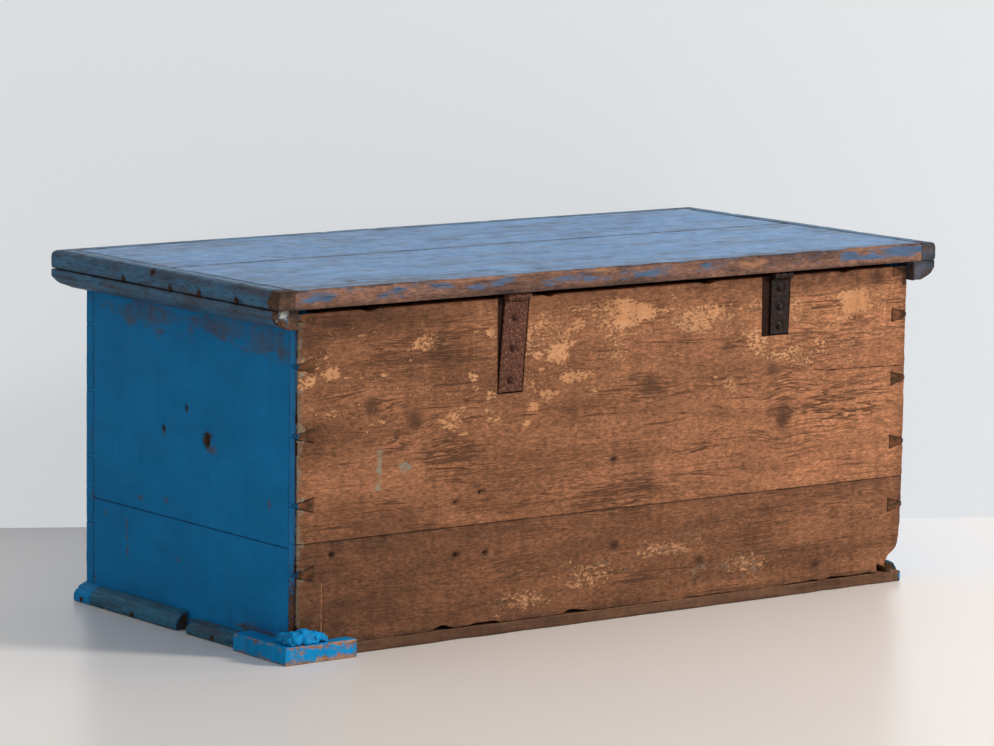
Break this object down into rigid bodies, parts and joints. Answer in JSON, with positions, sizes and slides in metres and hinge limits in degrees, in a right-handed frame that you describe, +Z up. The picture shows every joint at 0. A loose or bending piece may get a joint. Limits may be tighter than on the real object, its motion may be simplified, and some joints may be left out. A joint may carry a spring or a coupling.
{
  "type": "storage chest",
  "caption": "Long dovetailed pine chest with a flat overhanging lid on iron strap hinges at the back, for blankets or linen.",
  "frame": {"origin": "on the floor, under the middle of the case", "axes": "+X along the chest to the right-hand end of someone at its front, +Y to the back with the hinges, +Z up"},
  "size_m": [1.1832, 0.5952, 0.511],
  "materials": {
    "bare_pine": "bare aged pine, brown with ochre flakes",
    "blue_wall_paint": "old matt blue paint on pine, worn through in places",
    "worn_base_paint": "blue paint worn to grey brown on pine",
    "bright_block_paint": "newer bright blue paint on pine",
    "blue_filler": "dried blue paint filler in lumps",
    "lid_paint": "grey blue paint, streaked and slightly glossy",
    "nosing_paint": "grey blue paint worn to bare wood on the edges",
    "rusty_iron": "wrought iron, brown rust",
    "black_iron": "wrought iron, black"
  },
  "bodies": {
    "case": {"back_board_upper": "bare_pine", "back_board_lower": "bare_pine", "front_board_upper": "blue_wall_paint", "front_board_lower": "blue_wall_paint", "right_end_upper": "blue_wall_paint", "right_end_lower": "blue_wall_paint", "left_end_upper": "blue_wall_paint", "left_end_lower": "blue_wall_paint", "floor_board_front": "bare_pine", "floor_board_middle": "bare_pine", "floor_board_rear": "bare_pine", "base_moulding_front": "worn_base_paint", "base_moulding_left": "worn_base_paint", "base_moulding_right_corner": "bright_block_paint", "base_moulding_right_front": "worn_base_paint", "base_moulding_right_rear": "worn_base_paint", "corner_block": "bright_block_paint", "corner_filler": "blue_filler", "hinge_strap_right": "rusty_iron", "hinge_strap_left": "black_iron", "hinge_pin_right": "rusty_iron", "hinge_pin_left": "black_iron", "strap_nails_right": "rusty_iron", "strap_nails_left": "black_iron", "floor_nails": "rusty_iron", "base_nails": "rusty_iron"},
    "lid": {"lid_board_front": "lid_paint", "lid_board_rear": "lid_paint", "lid_nosing_front": "nosing_paint", "lid_nosing_right": "nosing_paint", "lid_nosing_left": "nosing_paint", "lid_moulding_front": "nosing_paint", "lid_moulding_right": "nosing_paint", "lid_moulding_left": "nosing_paint", "hinge_leaf_right": "rusty_iron", "hinge_leaf_left": "black_iron", "leaf_nails": "rusty_iron", "nosing_nails": "rusty_iron", "lid_moulding_nails": "rusty_iron"}
  },
  "joints": [
    {"name": "lid_hinge", "type": "hinge", "parent": "case", "child": "lid", "pos_m": [0, 0.272, 0.4772], "axis": [-1, 0, 0], "range_deg": [0, 120]}
  ]
}
